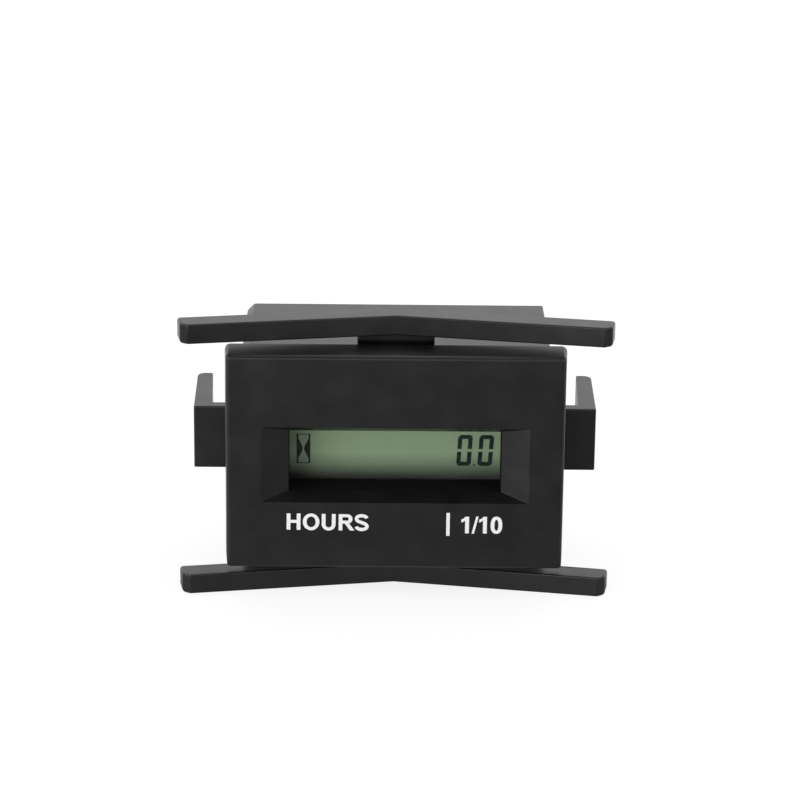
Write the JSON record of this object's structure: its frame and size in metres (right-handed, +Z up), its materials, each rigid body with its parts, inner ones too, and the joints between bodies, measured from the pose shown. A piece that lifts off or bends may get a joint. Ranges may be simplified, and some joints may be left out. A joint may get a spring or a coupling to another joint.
{
  "type": "panel hour meter",
  "caption": "Rectangular panel meter with a recessed liquid crystal display, held in a panel cut-out by a slide-on clip with swept wing springs and release levers.",
  "frame": {"origin": "centre of the panel cut-out, in the plane of the bezel's back face", "axes": "+X to the right of the dial, +Y back through the panel, +Z up"},
  "size_m": [0.0574, 0.0411, 0.0374],
  "materials": {
    "housing_plastic": "fine spark-eroded satin black",
    "clip_plastic": "plain moulded satin black",
    "clear_lens": "polished clear acrylic",
    "display_film": "satin grey-green film",
    "display_glass": "clear",
    "reflector_film": "silver grey film",
    "holder_plastic": "plain moulded black",
    "contact_rubber": "matt",
    "board_laminate": "solder mask",
    "chip_epoxy": "moulded epoxy",
    "can_metal": "drawn can",
    "cell_steel": "nickel plated",
    "tab_nickel": "nickel strip",
    "capacitor_sleeve": "shrunk sleeve",
    "capacitor_case": "moulded case",
    "resistor_ceramic": "glazed chip",
    "capacitor_ceramic": "ceramic chip",
    "terminal_metal": "tin-plated brass"
  },
  "bodies": {
    "meter": {"housing": "housing_plastic", "lens": "clear_lens", "front_polarizer": "display_film", "lcd_front_glass": "display_glass", "lcd_rear_glass": "display_glass", "rear_polarizer": "reflector_film", "lcd_holder": "holder_plastic", "upper_contact_strip": "contact_rubber", "lower_contact_strip": "contact_rubber", "circuit_board": "board_laminate", "controller_chip": "chip_epoxy", "quartz_crystal": "can_metal", "coin_cell": "cell_steel", "positive_cell_tab": "tab_nickel", "negative_cell_tab": "tab_nickel", "electrolytic_capacitor": "capacitor_sleeve", "film_capacitor": "capacitor_case", "rectifier_diodes": "chip_epoxy", "chip_resistors": "resistor_ceramic", "chip_capacitors": "capacitor_ceramic", "left_terminal": "terminal_metal", "right_terminal": "terminal_metal", "rear_cover": "housing_plastic"},
    "clip": {"mounting_clip": "clip_plastic"}
  },
  "joints": [
    {"name": "clip_slide", "type": "slide", "parent": "meter", "child": "clip", "axis": [0, 1, 0], "range_m": [-0.002, 0.0265]}
  ]
}
